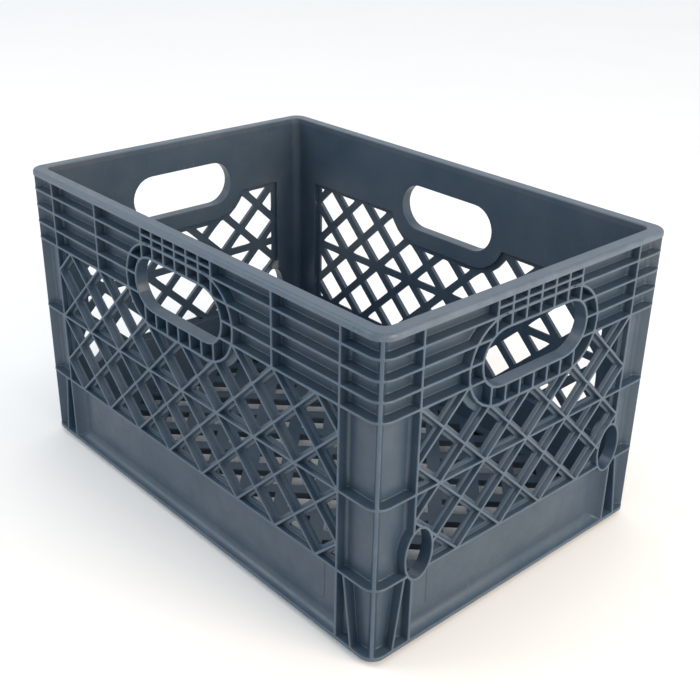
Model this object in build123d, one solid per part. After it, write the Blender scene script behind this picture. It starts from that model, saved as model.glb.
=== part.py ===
from build123d import *
import os

# A rectangular milk bottle crate. Millimetres, +Z up, standing on z = 0.
# The origin is at the middle of the footprint. The long walls face -Y and +Y.
# Every wall is drawn as the front wall (facing -Y) and then turned into place.
# In a wall's own frame x runs along the wall, y is the depth behind the front
# edges of the ribs, and z is the height above the ground.

# ---------------------------------------------------------------- overall size
PITCH = 49.5                 # width of one diamond of the side lattice
DIAMONDS_LONG = 8            # diamonds along a long wall
DIAMONDS_SHORT = 5           # diamonds along a short wall
POST_LEG_LONG = 42.0         # rim edge to post edge rib, on a long wall
POST_LEG_SHORT = 40.25       # the same on a short wall
LENGTH = DIAMONDS_LONG * PITCH + 2 * POST_LEG_LONG
WIDTH = DIAMONDS_SHORT * PITCH + 2 * POST_LEG_SHORT
HEIGHT = 280.0
FOOT_HEIGHT = 6.0            # stacking foot below the bottom flange

# ---------------------------------------------------------------- wall section
OVERHANG = 0.5               # rim stands this far outside the rib edges
RIB = 2.2                    # thickness of every rib
RIB_DEPTH = 9.0              # rib edge to the outer face of the skin
SKIN = 2.5                   # thickness of the inner skin
WALL = RIB_DEPTH + SKIN      # rib edge to the inner face
WEB_DEPTH = 5.2              # lattice webs, rib edge to flange
FLANGE = 2.3                 # thickness of the lattice flange
FLANGE_WIDTH = 8.0           # width of each lattice bar's flange
BORDER = 5.6                 # flange border round the lattice, beside a rib

# ---------------------------------------------------------------- heights
RIM_THICKNESS = 5.5
RIM_OUTER_ROUND = 3.0
RIM_INNER_ROUND = 1.2
RIM_UNDER = HEIGHT - RIM_THICKNESS
RIB_1 = FOOT_HEIGHT + 255.0  # four closely spaced ribs of the upper band
RIB_2 = FOOT_HEIGHT + 239.0
RIB_3 = FOOT_HEIGHT + 223.0
RIB_4 = FOOT_HEIGHT + 207.0
RIB_5 = FOOT_HEIGHT + 136.5  # middle rib of the lattice
RIB_6 = FOOT_HEIGHT + 66.0   # top of the plain skirt
BAND_RIBS = [RIB_1, RIB_2, RIB_3, RIB_4]
POST_RIBS = BAND_RIBS + [RIB_5, RIB_6]
LATTICE_ROWS = 6             # half diamonds between rib 4 and rib 6
ROW = (RIB_4 - RIB_6) / LATTICE_ROWS
BAND_UPRIGHT = 123.0         # upright rib in the band of a long wall

# ---------------------------------------------------------------- plan corners
RIM_CORNER = 14.0            # outer corner radius of the rim
RIB_CORNER = 13.0            # corner radius of the rib edges
SKIN_CORNER = 8.0            # corner radius of both faces of the skin
BLADE = 3.0                  # thickness of the diagonal corner rib

# ---------------------------------------------------------------- hand grip
GRIP_HALF = 76.0             # half width of the ring round the grip
RING_HEIGHT = 75.0
RING_CENTRE = FOOT_HEIGHT + 218.0
COLLAR_WIDTH = 124.0
COLLAR_HEIGHT = 50.0
COLLAR_CENTRE = FOOT_HEIGHT + 220.0
GRID_STEP = 16.3             # spacing of the uprights above and below the grip
GRID_SIDE = 3                # uprights each side of the middle one
GRID_RIB = FOOT_HEIGHT + 262.0

# ---------------------------------------------------------------- skirt
BOTTOM_FLANGE = 3.0          # thickness of the flange round the bottom
LIP = 6.0                    # the flange runs this far inside the wall
COVE = 9.0                   # hollow between the skirt and the bottom flange
END_COVE = 12.0              # hollow between the skirt and a post
PAD_RAISE = 0.6              # label pad on the skirt
PAD_END_LONG = 23.0          # post edge to the pad on a long wall
PAD_END_SHORT = 26.0
PAD_BOTTOM = FOOT_HEIGHT + 21.0
PAD_TOP = FOOT_HEIGHT + 58.0
GUSSET_TOP = 8.0             # sloping foot rib, from the post edge at its top
GUSSET_BOTTOM = 18.0         # and at its bottom

# ---------------------------------------------------------------- oval sleeves
SLEEVE_WIDTH = 31.0
SLEEVE_HEIGHT = 48.0
SLEEVE_INSET = 6.5           # post edge rib to the middle of the sleeve
SLEEVE_CENTRE = FOOT_HEIGHT + 81.5
SLEEVE_WALL = 2.2

# ---------------------------------------------------------------- floor
FLOOR_TOP = FOOT_HEIGHT + 13.0
FLOOR_BORDER = 9.0
FLOOR_FLANGE = 13.0          # width of each floor bar's flange
STACK_GAP = 2.0              # play of the stacking foot inside another rim
STACK_RAIL = 3.0             # thickness of the stacking foot
STACK_END = 30.0             # rim edge to where a long rail meets a short one

EDGE_LONG = DIAMONDS_LONG * PITCH / 2      # post edge rib on a long wall
EDGE_SHORT = DIAMONDS_SHORT * PITCH / 2    # post edge rib on a short wall
BIG = 600.0                                # larger than the crate

# wall name: turn about Z, distance of the rib edges from the middle, half span
WALLS = {
    "front": (0, WIDTH / 2 - OVERHANG, EDGE_LONG),
    "right": (90, LENGTH / 2 - OVERHANG, EDGE_SHORT),
    "back": (180, WIDTH / 2 - OVERHANG, EDGE_LONG),
    "left": (270, LENGTH / 2 - OVERHANG, EDGE_SHORT),
}

# corner name: signs of x and y
CORNERS = {
    "front_left": (-1, -1),
    "front_right": (1, -1),
    "back_right": (1, 1),
    "back_left": (-1, 1),
}

# corner name: the two walls that meet there, and which end of each
CORNER_WALLS = {
    "front_left": [("front", -1), ("left", 1)],
    "front_right": [("front", 1), ("right", -1)],
    "back_right": [("right", 1), ("back", -1)],
    "back_left": [("back", 1), ("left", -1)],
}


# ---------------------------------------------------------------- small helpers
def rectangle(x_low, x_high, z_low, z_high):
    """A flat rectangle given by its sides."""
    middle = Pos((x_low + x_high) / 2, (z_low + z_high) / 2)
    return middle * Rectangle(x_high - x_low, z_high - z_low)


def stadium(width, height, centre):
    """A flat slot shape with round ends."""
    return Pos(0, centre) * SlotOverall(width, height)


def slab(sketch, near, far):
    """Thicken a wall sketch from depth near to depth far."""
    return extrude(Plane.XZ.offset(-far) * sketch, far - near)


def put_on_wall(shape, wall):
    """Turn a shape drawn as the front wall onto the named wall."""
    turn, distance, half_span = WALLS[wall]
    return Rot(0, 0, turn) * Pos(0, -distance, 0) * shape


def is_long(wall):
    return WALLS[wall][2] == EDGE_LONG


def sleeve_places(wall):
    """Middle of each oval sleeve along a wall; only short walls have them."""
    if is_long(wall):
        return []
    return [EDGE_SHORT - SLEEVE_INSET, SLEEVE_INSET - EDGE_SHORT]


def sleeve_outline(place, margin=0.0):
    """Outer oval of a sleeve, made smaller by the margin."""
    oval = Ellipse(SLEEVE_WIDTH / 2 - margin, SLEEVE_HEIGHT / 2 - margin)
    return Pos(place, SLEEVE_CENTRE) * oval


def cut_sleeves(shape, wall):
    """Take the sleeves' outer ovals out of a shape in its wall's frame."""
    for place in sleeve_places(wall):
        shape = shape - slab(sleeve_outline(place), -LIP, WALL + LIP)
    return shape


def rounded_plan(inset, radius):
    """The crate's plan, drawn in from the rib edges, with round corners."""
    half_x = LENGTH / 2 - OVERHANG - inset
    half_y = WIDTH / 2 - OVERHANG - inset
    return RectangleRounded(2 * half_x, 2 * half_y, radius)


# ---------------------------------------------------------------- rim
def rim_rail(wall):
    """Straight length of the flat top rim, with its two top edges rounded."""
    half_span = WALLS[wall][2] - RIB / 2
    section = rectangle(-OVERHANG, WALL, RIM_UNDER, HEIGHT)
    rail = extrude(Plane.YZ.offset(-half_span) * section, 2 * half_span)
    top = rail.edges().filter_by(Axis.X).group_by(Axis.Z)[-1].sort_by(Axis.Y)
    rail = fillet(top[0], RIM_OUTER_ROUND)
    inner = rail.edges().filter_by(Axis.X).group_by(Axis.Y)[-1].sort_by(Axis.Z)
    rail = fillet(inner[-1], RIM_INNER_ROUND)
    return put_on_wall(rail, wall)


def corner_box(corner, low, high):
    """The block at one corner, from the near faces of both post edge ribs."""
    sign_x, sign_y = CORNERS[corner]
    start_x = EDGE_LONG - RIB / 2
    start_y = EDGE_SHORT - RIB / 2
    middle = (low + high) / 2
    block = Box(BIG, BIG, high - low)
    return Pos(sign_x * (start_x + BIG / 2), sign_y * (start_y + BIG / 2), middle) * block


def rim_corner(corner):
    """Round corner of the rim, with the rails' section."""
    ring = rounded_plan(-OVERHANG, RIM_CORNER) - rounded_plan(WALL, SKIN_CORNER)
    solid = extrude(Pos(0, 0, RIM_UNDER) * ring, RIM_THICKNESS)
    top = solid.faces().sort_by(Axis.Z)[-1]
    solid = fillet(top.outer_wire().edges(), RIM_OUTER_ROUND)
    top = solid.faces().sort_by(Axis.Z)[-1]
    solid = fillet(top.inner_wires()[0].edges(), RIM_INNER_ROUND)
    return solid & corner_box(corner, RIM_UNDER, HEIGHT)


# ---------------------------------------------------------------- upper band
def upper_band(wall, side):
    """Ribbed band beside a hand grip; side is -1 or 1 along the wall."""
    near_end = GRIP_HALF
    far_end = WALLS[wall][2] - RIB / 2
    bottom = RIB_4 - RIB / 2
    span = sorted((side * near_end, side * far_end))
    region = rectangle(span[0], span[1], bottom, RIM_UNDER)
    ribs = Sketch() + [rectangle(span[0], span[1], z - RIB / 2, z + RIB / 2) for z in BAND_RIBS]
    if is_long(wall):
        upright = side * BAND_UPRIGHT
        ribs += rectangle(upright - RIB / 2, upright + RIB / 2, bottom, RIM_UNDER)
    band = slab(region, RIB_DEPTH, WALL) + slab(ribs, 0, RIB_DEPTH)
    return put_on_wall(band, wall)


# ---------------------------------------------------------------- hand grip
def grip_region():
    """Outline of a grip: the band's height, with the ring hanging below."""
    upper = rectangle(-GRIP_HALF, GRIP_HALF, RIB_4 - RIB / 2, RIM_UNDER)
    return upper + stadium(2 * GRIP_HALF, RING_HEIGHT, RING_CENTRE)


def grip_ribs():
    """Ring, band ribs, and the grid of small ribs round a grip."""
    outer = stadium(2 * GRIP_HALF, RING_HEIGHT, RING_CENTRE)
    inner = stadium(2 * GRIP_HALF - 2 * RIB, RING_HEIGHT - 2 * RIB, RING_CENTRE)
    bars = []
    for z in BAND_RIBS:
        bars.append(rectangle(-GRIP_HALF, GRIP_HALF, z - RIB / 2, z + RIB / 2))
    grid_half = GRID_SIDE * GRID_STEP + RIB / 2
    bars.append(rectangle(-grid_half, grid_half, GRID_RIB - RIB / 2, GRID_RIB + RIB / 2))
    for step in range(-GRID_SIDE, GRID_SIDE + 1):
        x = step * GRID_STEP
        bars.append(rectangle(x - RIB / 2, x + RIB / 2, RING_CENTRE - RING_HEIGHT / 2, RIM_UNDER))
    return ((outer - inner) + bars) & grip_region()


def hand_grip(wall):
    """Grip surround with an oblong hole, a collar through the wall and its ribs."""
    collar = stadium(COLLAR_WIDTH, COLLAR_HEIGHT, COLLAR_CENTRE)
    hole = stadium(COLLAR_WIDTH - 2 * RIB, COLLAR_HEIGHT - 2 * RIB, COLLAR_CENTRE)
    skin = slab(grip_region() - hole, RIB_DEPTH, WALL)
    ribs = slab((grip_ribs() + collar) - hole, 0, RIB_DEPTH)
    return put_on_wall(skin + ribs, wall)


# ---------------------------------------------------------------- side lattice
def lattice_region(wall):
    """Space between two posts, rib 4 and rib 6, less the grip's ring."""
    half_span = WALLS[wall][2] - RIB / 2
    space = rectangle(-half_span, half_span, RIB_6 + RIB / 2, RIB_4 - RIB / 2)
    space -= stadium(2 * GRIP_HALF, RING_HEIGHT, RING_CENTRE)
    for place in sleeve_places(wall):
        space -= sleeve_outline(place)
    return space


def lattice_bars(wall, width):
    """Both families of slanting bars and the middle bar, at one width."""
    diamonds = DIAMONDS_LONG if is_long(wall) else DIAMONDS_SHORT
    phase = 0.0 if is_long(wall) else 0.5
    half_span = WALLS[wall][2]
    slope = Vector(PITCH / 2, ROW).get_angle(Vector(1, 0))
    bars = [rectangle(-half_span, half_span, RIB_5 - width / 2, RIB_5 + width / 2)]
    reach = LATTICE_ROWS // 2
    for step in range(-reach, diamonds + reach + 1):
        x = -half_span + (step + phase) * PITCH
        for turn in (slope, -slope):
            bars.append(Pos(x, RIB_5) * Rot(0, 0, turn) * Rectangle(BIG, width))
    return bars


def side_lattice(wall):
    """Open diamond lattice: T bars with their flanges towards the inside."""
    half_span = WALLS[wall][2]
    region = lattice_region(wall)
    window = rectangle(-half_span + BORDER, half_span - BORDER, RIB_6 + BORDER, RIB_4 - BORDER)
    window -= stadium(2 * GRIP_HALF + BORDER * 2, RING_HEIGHT + BORDER * 2, RING_CENTRE)
    for place in sleeve_places(wall):
        window -= sleeve_outline(place, -BORDER / 2)
    wide = Sketch() + lattice_bars(wall, FLANGE_WIDTH)
    thin = Sketch() + lattice_bars(wall, RIB)
    flange = region - (window - wide)
    lattice = slab(flange, WEB_DEPTH, WEB_DEPTH + FLANGE) + slab(thin & region, 0, WEB_DEPTH)
    return put_on_wall(lattice, wall)


# ---------------------------------------------------------------- skirt
def skirt_section():
    """Section of the skirt in depth and height, with rib 6 and the flange."""
    low = FOOT_HEIGHT
    flange_top = low + BOTTOM_FLANGE
    top = RIB_6 + RIB / 2
    skin = rectangle(RIB_DEPTH, WALL, low, top)
    shelf = rectangle(0, WALL, RIB_6 - RIB / 2, top)
    flange = rectangle(0, WALL + LIP, low, flange_top)
    block = rectangle(RIB_DEPTH - COVE, RIB_DEPTH, flange_top, flange_top + COVE)
    hollow = Pos(RIB_DEPTH - COVE, flange_top + COVE) * Circle(COVE)
    return skin + shelf + flange + (block - hollow)


def end_cove(place, side):
    """Upright hollow that runs the skirt into a post edge rib."""
    low = FOOT_HEIGHT + BOTTOM_FLANGE
    corner = rectangle(0, END_COVE, RIB_DEPTH - END_COVE, RIB_DEPTH)
    corner -= Pos(END_COVE, RIB_DEPTH - END_COVE) * Circle(END_COVE)
    corner &= rectangle(0, END_COVE, 0, RIB_DEPTH)
    if side > 0:
        corner = mirror(corner, Plane.YZ)
    return extrude(Pos(place, 0, low) * corner, RIB_6 - low)


def skirt(wall):
    """Plain lower panel between two posts."""
    half_span = WALLS[wall][2] - RIB / 2
    panel = extrude(Plane.YZ.offset(-half_span) * skirt_section(), 2 * half_span)
    for side in (-1, 1):
        panel += end_cove(side * half_span, side)
    pad_end = PAD_END_LONG if is_long(wall) else PAD_END_SHORT
    pad_half = WALLS[wall][2] - pad_end
    pad = rectangle(-pad_half, pad_half, PAD_BOTTOM, PAD_TOP)
    panel += slab(pad, RIB_DEPTH - PAD_RAISE, RIB_DEPTH)
    return put_on_wall(cut_sleeves(panel, wall), wall)


# ---------------------------------------------------------------- sleeves
def oval_sleeve(wall, place):
    """Oval tube through a short wall, open at both ends."""
    tube = slab(sleeve_outline(place) - sleeve_outline(place, SLEEVE_WALL), 0, WALL)
    return put_on_wall(tube, wall)


# ---------------------------------------------------------------- corner posts
def blade_strips():
    """Both diagonals of the plan's four corners, as thin strips."""
    centre_x = LENGTH / 2 - OVERHANG - RIB_CORNER
    centre_y = WIDTH / 2 - OVERHANG - RIB_CORNER
    strips = []
    for sign_x, sign_y in CORNERS.values():
        strip = Rot(0, 0, 45 * sign_x * sign_y) * Rectangle(4 * RIB_CORNER, BLADE)
        strips.append(Pos(sign_x * centre_x, sign_y * centre_y) * strip)
    return strips


def edge_strips():
    """Plan of every post edge rib."""
    strips = []
    for sign in (-1, 1):
        strips.append(Pos(sign * EDGE_LONG, 0) * Rectangle(RIB, BIG))
        strips.append(Pos(0, sign * EDGE_SHORT) * Rectangle(BIG, RIB))
    return strips


SKIN_OUTER = rounded_plan(RIB_DEPTH, SKIN_CORNER)
POST_SKIN = SKIN_OUTER - rounded_plan(WALL, SKIN_CORNER)
POST_SHELF = rounded_plan(0, RIB_CORNER) - SKIN_OUTER
POST_UPRIGHTS = POST_SHELF & (Sketch() + blade_strips() + edge_strips())


def column(plan, low, high):
    """Thicken a plan from one height to another."""
    return extrude(Pos(0, 0, low) * plan, high - low)


def cut_all_sleeves(shape):
    """Take the outer ovals of all four sleeves out of a shape."""
    for wall in WALLS:
        for place in sleeve_places(wall):
            oval = slab(sleeve_outline(place), -LIP, WALL + LIP)
            shape = shape - put_on_wall(oval, wall)
    return shape


def corner_post(corner):
    """Post above the skirt: skin, diagonal blade, edge ribs and level ribs."""
    low = RIB_6 - RIB / 2
    post = column(POST_SKIN, low, RIM_UNDER) + column(POST_UPRIGHTS, low, RIM_UNDER)
    post += [column(POST_SHELF, z - RIB / 2, z + RIB / 2) for z in POST_RIBS]
    return cut_all_sleeves(post & corner_box(corner, low, RIM_UNDER))


def gusset(wall, side):
    """Sloping rib of a foot, in the plane of its wall's ribs."""
    top = RIB_6 - RIB / 2
    half_span = WALLS[wall][2]
    slope = [
        (half_span + GUSSET_TOP - RIB / 2, top),
        (half_span + GUSSET_TOP + RIB / 2, top),
        (half_span + GUSSET_BOTTOM + RIB / 2, FOOT_HEIGHT),
        (half_span + GUSSET_BOTTOM - RIB / 2, FOOT_HEIGHT),
    ]
    outline = make_face(Polyline([(side * x, z) for x, z in slope], close=True))
    return put_on_wall(slab(outline, 0, RIB_DEPTH), wall)


def corner_foot(corner):
    """Foot of a post: skin, blade, edge ribs, sloping ribs and bottom flange."""
    low = FOOT_HEIGHT
    high = RIB_6 - RIB / 2
    foot = column(POST_SKIN, low, high) + column(POST_UPRIGHTS, low, high)
    flange = rounded_plan(0, RIB_CORNER) - rounded_plan(WALL + LIP, SKIN_CORNER - LIP / 2)
    foot += column(flange, low, low + BOTTOM_FLANGE)
    foot = foot & corner_box(corner, low, high)
    foot += [gusset(wall, side) for wall, side in CORNER_WALLS[corner]]
    return cut_all_sleeves(foot)


# ---------------------------------------------------------------- floor
def floor_grid():
    """Diamond grid of T bars, open between them, resting on the inner lip."""
    half_x = LENGTH / 2 - OVERHANG - WALL
    half_y = WIDTH / 2 - OVERHANG - WALL
    inside = RectangleRounded(2 * half_x, 2 * half_y, SKIN_CORNER)
    window = Rectangle(2 * (half_x - FLOOR_BORDER), 2 * (half_y - FLOOR_BORDER))
    edge = RectangleRounded(2 * (half_x - RIB), 2 * (half_y - RIB), SKIN_CORNER - RIB)
    steps = range(-DIAMONDS_LONG, DIAMONDS_LONG + 1)
    wide = []
    thin = []
    for step in steps:
        for turn in (45, -45):
            spot = Pos(step * PITCH, 0) * Rot(0, 0, turn)
            wide.append(spot * Rectangle(2 * BIG, FLOOR_FLANGE))
            thin.append(spot * Rectangle(2 * BIG, RIB))
    flange = inside - (window - wide)
    webs = (inside - edge) + ((Sketch() + thin) & inside)
    flange_low = FLOOR_TOP - FLANGE
    return column(flange, flange_low, FLOOR_TOP) + column(webs, FOOT_HEIGHT + BOTTOM_FLANGE, flange_low)


def stacking_rail(side):
    """Part of the low ring that drops inside the rim of the crate below."""
    outer = rounded_plan(WALL + STACK_GAP, SKIN_CORNER - STACK_GAP)
    inner = rounded_plan(WALL + STACK_GAP + STACK_RAIL, SKIN_CORNER - STACK_GAP - STACK_RAIL)
    end_y = WIDTH / 2 - STACK_END
    if is_long(side):
        keep = rectangle(-BIG, BIG, -BIG, -end_y)
    else:
        keep = rectangle(-end_y, end_y, -BIG, 0)
    keep = Rot(0, 0, WALLS[side][0]) * keep
    return column((outer - inner) & keep, 0, FOOT_HEIGHT)


# ---------------------------------------------------------------- assembly

def all_nodes():
    """Every sub-part of the crate, by name."""
    nodes = {"floor_grid": floor_grid()}
    for wall in WALLS:
        nodes[f"rim_{wall}"] = rim_rail(wall)
        nodes[f"hand_grip_{wall}"] = hand_grip(wall)
        nodes[f"upper_band_{wall}_left"] = upper_band(wall, -1)
        nodes[f"upper_band_{wall}_right"] = upper_band(wall, 1)
        nodes[f"side_lattice_{wall}"] = side_lattice(wall)
        nodes[f"skirt_{wall}"] = skirt(wall)
        nodes[f"stacking_rail_{wall}"] = stacking_rail(wall)
        for place in sleeve_places(wall):
            end = "right" if place > 0 else "left"
            nodes[f"oval_sleeve_{wall}_{end}"] = oval_sleeve(wall, place)
    for corner in CORNERS:
        nodes[f"rim_corner_{corner}"] = rim_corner(corner)
        nodes[f"corner_post_{corner}"] = corner_post(corner)
        nodes[f"corner_foot_{corner}"] = corner_foot(corner)
    return nodes


os.makedirs("parts", exist_ok=True)
for name, shape in all_nodes().items():
    export_step(shape, f"parts/{name}.step")
    print(name, round(shape.volume / 1000, 1), "cm3")
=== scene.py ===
import math
import bmesh
import bpy
import numpy as np
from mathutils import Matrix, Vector
from mathutils.geometry import delaunay_2d_cdt


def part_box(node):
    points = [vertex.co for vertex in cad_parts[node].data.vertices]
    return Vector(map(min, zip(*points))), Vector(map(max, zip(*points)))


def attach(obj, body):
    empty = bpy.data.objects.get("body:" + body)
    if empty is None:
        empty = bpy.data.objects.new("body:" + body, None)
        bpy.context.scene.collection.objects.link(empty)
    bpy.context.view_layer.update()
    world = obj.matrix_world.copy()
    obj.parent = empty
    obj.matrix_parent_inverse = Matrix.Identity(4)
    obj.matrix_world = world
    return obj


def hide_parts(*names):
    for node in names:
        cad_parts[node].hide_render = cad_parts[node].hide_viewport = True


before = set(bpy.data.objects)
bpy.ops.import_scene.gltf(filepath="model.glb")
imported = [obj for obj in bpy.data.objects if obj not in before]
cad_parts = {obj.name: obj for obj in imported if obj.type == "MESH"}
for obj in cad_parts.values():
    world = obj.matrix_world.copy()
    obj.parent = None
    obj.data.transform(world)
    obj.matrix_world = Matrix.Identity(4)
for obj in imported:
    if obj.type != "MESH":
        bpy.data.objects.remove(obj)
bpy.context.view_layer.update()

# A moulded milk bottle crate. Every wall is drawn unrolled, in millimetres: x runs
# along the wall and on round the corner to the diagonal blade, z is the height and
# depth runs inwards from the front edges of the ribs. The centre lines of all ribs
# split a wall into cells. Each cell is a stack of rings, from the rounded rib edge
# down the rib's side and round a fillet to the skin, or out through an opening.

MM = 0.001
WELD = 8e-6                  # corners closer than this are one, in metres


def node_box(node):
    """Lowest and highest corner of a CAD node, in millimetres."""
    low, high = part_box(node)
    return [value / MM for value in low], [value / MM for value in high]


# ---------------------------------------------------------------- section sizes, mm
OVERHANG = 0.5               # rim stands this far outside the rib edges
HALF_RIB = 1.1               # half thickness of a rib
RIB_DEPTH = 9.0              # rib edge to skin
WALL = 11.5                  # rib edge to the inner face
WEB_DEPTH = 5.2              # lattice webs, rib edge to flange
LATTICE = 7.5                # lattice, rib edge to its inner face
HALF_FLANGE = 4.0            # lattice bar: centre line to the edge of its flange
BORDER = 5.6                 # flange border beside a rib, from its centre line
BLADE_HALF = 1.5             # half thickness of the diagonal corner rib
BOTTOM_FLANGE = 3.0          # thickness of the flange round the foot
LIP = 6.0                    # bottom flange inside the wall
RIB_CORNER = 13.0            # radii round the crate's corners: of the ribs' edges,
SKIN_CORNER = 8.0            # of the skin
LIP_CORNER = 5.0             # and of the flange's inner edge
TIP = 0.75                   # rounding of a rib's front edges
ROOT = 0.9                   # fillet where a rib meets the skin
POST_ROOT = 2.8              # fillet beside a corner post's ribs
DRAFT = 0.12                 # a rib's side leans out this much by its root
EDGE = 0.6                   # rounding of a lattice opening
EDGE_BACK = 0.18             # the same rounding, half way round
TUBE = HALF_RIB + DRAFT      # a lattice opening reaches right up to an oval sleeve

# How far from their centre lines things are, by kind of line.
HALF_THICKNESS = {"rim": 0.35, "blade": BLADE_HALF, "bottom": BOTTOM_FLANGE}
OPENING = {"bar": HALF_FLANGE, "ring": HALF_RIB + BORDER, "oval": TUBE}

# Inner face of the lattice: it steps back this deep, this far from its border's lines.
STEP_AT = [0, 0.45, 0.8, 1.06, 1.12, 1.4, 2.0]
STEP_DEPTH = [WALL, WALL, WALL - 0.15, WALL - 0.6, LATTICE + 0.8, LATTICE + 0.22, LATTICE]
BAR_AT = [0.3, 0.6, 0.9, 1.2, 1.6, 2.2]   # the same rings beside a bar, where nothing steps

# Depths of the rings down the side of a rib, in a closed cell and in the skirt. Then the
# edge of the skirt's pad: raised by this much, this far short of the pad's flat face.
POST_DEPTHS = (RIB_DEPTH - POST_ROOT, 7.2, RIB_DEPTH - ROOT, 8.6, 8.88, RIB_DEPTH)
SKIRT_DEPTHS = (2.0, 4.0, 5.5, 6.8, 7.8, 8.4, 8.8, RIB_DEPTH)
PAD_RAISE = 0.6
PAD_EDGE = ((0, 0.9), (0.1, 0.55), (PAD_RAISE - 0.1, 0.2), (PAD_RAISE, 0))

# Radii that round a ring's corners, seen from the front.
TIP_CORNER = 0.8
BACK_CORNER = 0.5            # on the inner face, by the centre lines
ROOT_CORNER = 1.3
OPENING_CORNER = 1.5
COVE_CORNER = 2.0
PAD_CORNER = 3.0
HOLE_CORNER = 4.0

# ---------------------------------------------------------------- places, mm
HALF_LENGTH = node_box("rim_right")[1][0]
HALF_WIDTH = node_box("rim_back")[1][1]
HEIGHT = node_box("rim_front")[1][2]
EDGE_LONG = node_box("rim_front")[1][0] + HALF_RIB
EDGE_SHORT = node_box("rim_right")[1][1] + HALF_RIB
RIM_UNDER = node_box("rim_front")[0][2]
RIB_4 = node_box("side_lattice_front")[1][2] + HALF_RIB
RIB_6 = node_box("side_lattice_front")[0][2] - HALF_RIB
RIB_5 = (RIB_4 + RIB_6) / 2
RIB_STEP = 16.0              # from one rib of the upper band to the next
RIB_3, RIB_2, RIB_1 = RIB_4 + RIB_STEP, RIB_4 + 2 * RIB_STEP, RIB_4 + 3 * RIB_STEP
FOOT = node_box("skirt_front")[0][2]
HALF_ROWS = 3                # half diamonds above the lattice's middle bar, and below it
ROW = (RIB_4 - RIB_6) / (2 * HALF_ROWS)
BAYS_LONG, BAYS_SHORT = 8, 5
PITCH_LONG = 2 * EDGE_LONG / BAYS_LONG
PITCH_SHORT = 2 * EDGE_SHORT / BAYS_SHORT
BAND_UPRIGHT = 123.0         # upright of a long wall's upper band, from the middle
GRIP_HALF = node_box("hand_grip_front")[1][0]
RING_RADIUS = 37.0
RING_CENTRE = RIB_1 - RING_RADIUS
COLLAR_CENTRE = 226.0
COLLAR_RADIUS = 25.0 - HALF_RIB
COLLAR_HALF = 62.0 - HALF_RIB
GRID_STEP = 16.3             # from one upright of the grip's grid to the next
GRID_SIDE = 3                # uprights on each side of the middle one
GRID_HALF = GRID_SIDE * GRID_STEP
GRID_RIB = 268.0             # height of the grid's level rib
GRID_BELOW = 1.0             # the uprights start this far below the ring
SLEEVE_LOW, SLEEVE_HIGH = node_box("oval_sleeve_right_right")
SLEEVE_X = (SLEEVE_LOW[1] + SLEEVE_HIGH[1]) / 2
SLEEVE_Z = (SLEEVE_LOW[2] + SLEEVE_HIGH[2]) / 2
SLEEVE_A = (SLEEVE_HIGH[1] - SLEEVE_LOW[1]) / 2 - HALF_RIB
SLEEVE_B = (SLEEVE_HIGH[2] - SLEEVE_LOW[2]) / 2 - HALF_RIB
GUSSET_TOP = 8.0             # slanting rib of a corner foot, past the post's edge
GUSSET_BOTTOM = 18.0
COVE = 9.0                   # radius of the skirt's cove above the foot's flange
END_COVE = 12.0              # radius of the skirt's coves at its ends
PAD_LOW = FOOT + 21.0        # the skirt's raised pad, with its ends from the post's edge
PAD_HIGH = FOOT + 58.0
PAD_END_LONG = 23.0
PAD_END_SHORT = 26.0
PAD_GAP = 3.0                # skirt's pad to an oval sleeve
BEND_START = 10.0            # the bend round a corner starts this far past the post edge
CORNER_LEG = 40.0            # about how far a corner reaches past the post edge

# ---------------------------------------------------------------- mesh settings, mm
CROSSINGS, TRIANGLES = 3, 1  # two kinds of result of delaunay_2d_cdt
SMALLEST_CELL = 0.05         # square millimetres
FINE_GRID, COARSE_GRID = 43, 31   # points tried each way across a cell
NEAR_ENDS = (1.0, 2.4, 4.6)  # points this far from each end of a straight step
END_SHARE = 0.3              # of a step's length that those points may take up
FLAT_STEP, CURVED_STEP = 13.0, 4.0   # longest steps round a loop, on flats and in bends
CURVED_FILL, TALL_FILL = 3.0, 8      # between points inside a bent face, along and up
FLOW_STEPS = 22              # times that a ring is moved
FLATTEST_SLOPE = 0.2         # least squared slope that a move is divided by
LONGEST_MOVE, LONGEST_RETURN = 3.0, 0.5
CLOSE = 1e-4                 # a point that is short of its place by less may move back
LEAST_ROOM = 0.3             # a ring is left out where less room than this remains
SAME_PLACE = 0.05            # neighbouring points of a ring this close are one
ON_LINE, ON_OVAL = 0.01, 0.05   # a point this far inside a hole's line is still on it


# ---------------------------------------------------------------- centre lines
class Line:
    """A straight rib, by its centre line."""

    def __init__(self, start, end, kind="rib"):
        self.start, self.end, self.kind = np.array(start, float), np.array(end, float), kind
        along = (self.end - self.start) / np.linalg.norm(self.end - self.start)
        self.normal = np.array([-along[1], along[0]])

    def points(self):
        return [self.start, self.end]

    def distance(self, p):
        """Distance from the line, below zero on its right."""
        return (p - self.start) @ self.normal


class Slot:
    """A slot shape with round ends; its distance is positive outside."""

    def __init__(self, half_width, radius, centre, kind):
        self.straight, self.radius = half_width - radius, radius
        self.centre, self.kind = centre, kind

    def points(self, steps=16):
        turns = np.radians(np.linspace(-90, 90, steps + 1))
        right = [(math.cos(t), math.sin(t)) for t in turns]
        right = [(self.straight + self.radius * x, self.radius * z) for x, z in right]
        both = right + [(-x, -z) for x, z in right]
        return [np.array([x, self.centre + z]) for x, z in both + both[:1]]

    def distance(self, p):
        across = np.maximum(np.abs(p[..., 0]) - self.straight, 0)
        return np.hypot(across, p[..., 1] - self.centre) - self.radius


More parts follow.
